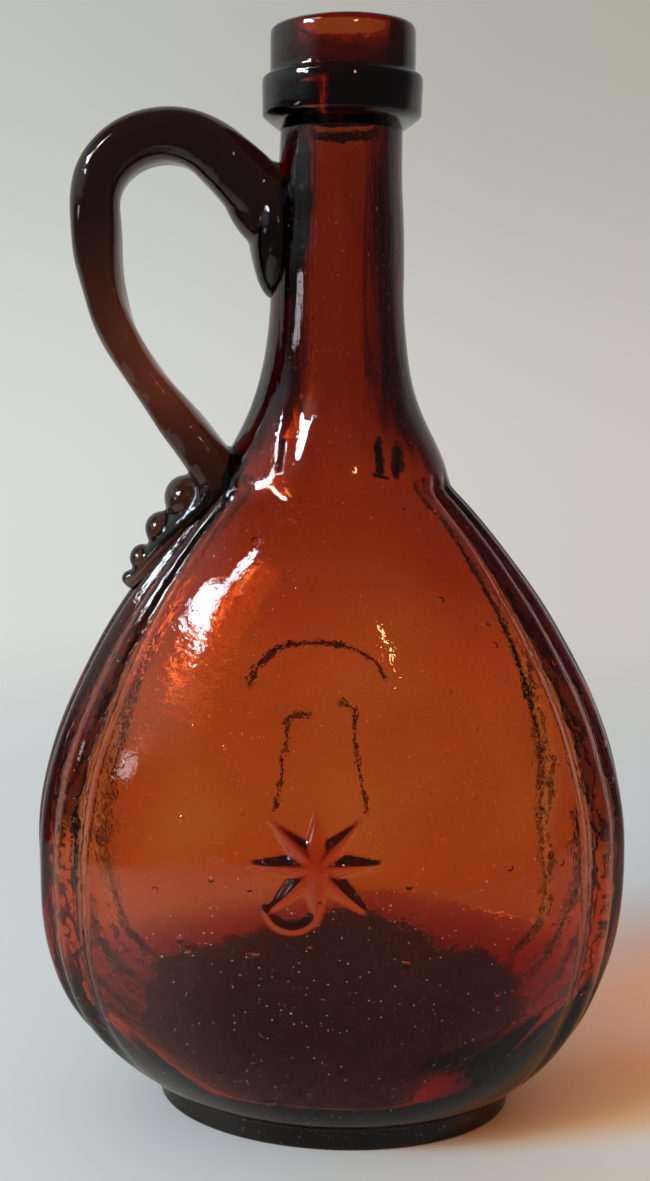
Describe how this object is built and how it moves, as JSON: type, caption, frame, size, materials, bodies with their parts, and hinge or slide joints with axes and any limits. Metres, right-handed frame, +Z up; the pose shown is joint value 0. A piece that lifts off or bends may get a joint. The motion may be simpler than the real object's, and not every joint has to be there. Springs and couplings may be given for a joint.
{
  "type": "handled flask",
  "caption": "Amber glass handled flask: oval blown body with ribbed narrow sides and a moulded star, tall neck, double collar lip and strap handle with crimped tail",
  "frame": {"origin": "centre of the base, on the surface that the flask stands on", "axes": "+Z up through the neck; +X to the right, away from the handle, which is on the -X side; the front panel with the star faces -Y"},
  "size_m": [0.121, 0.0765, 0.216],
  "materials": {
    "body_glass": "orange amber blown glass, gloss, with seed bubbles and faint ripple",
    "lip_glass": "dark amber glass, gloss, double thickness",
    "handle_glass": "dark red-brown amber glass, gloss, hand drawn"
  },
  "bodies": {
    "root": {"flask_body": "body_glass", "applied_lip": "lip_glass", "handle": "handle_glass"}
  },
  "joints": []
}
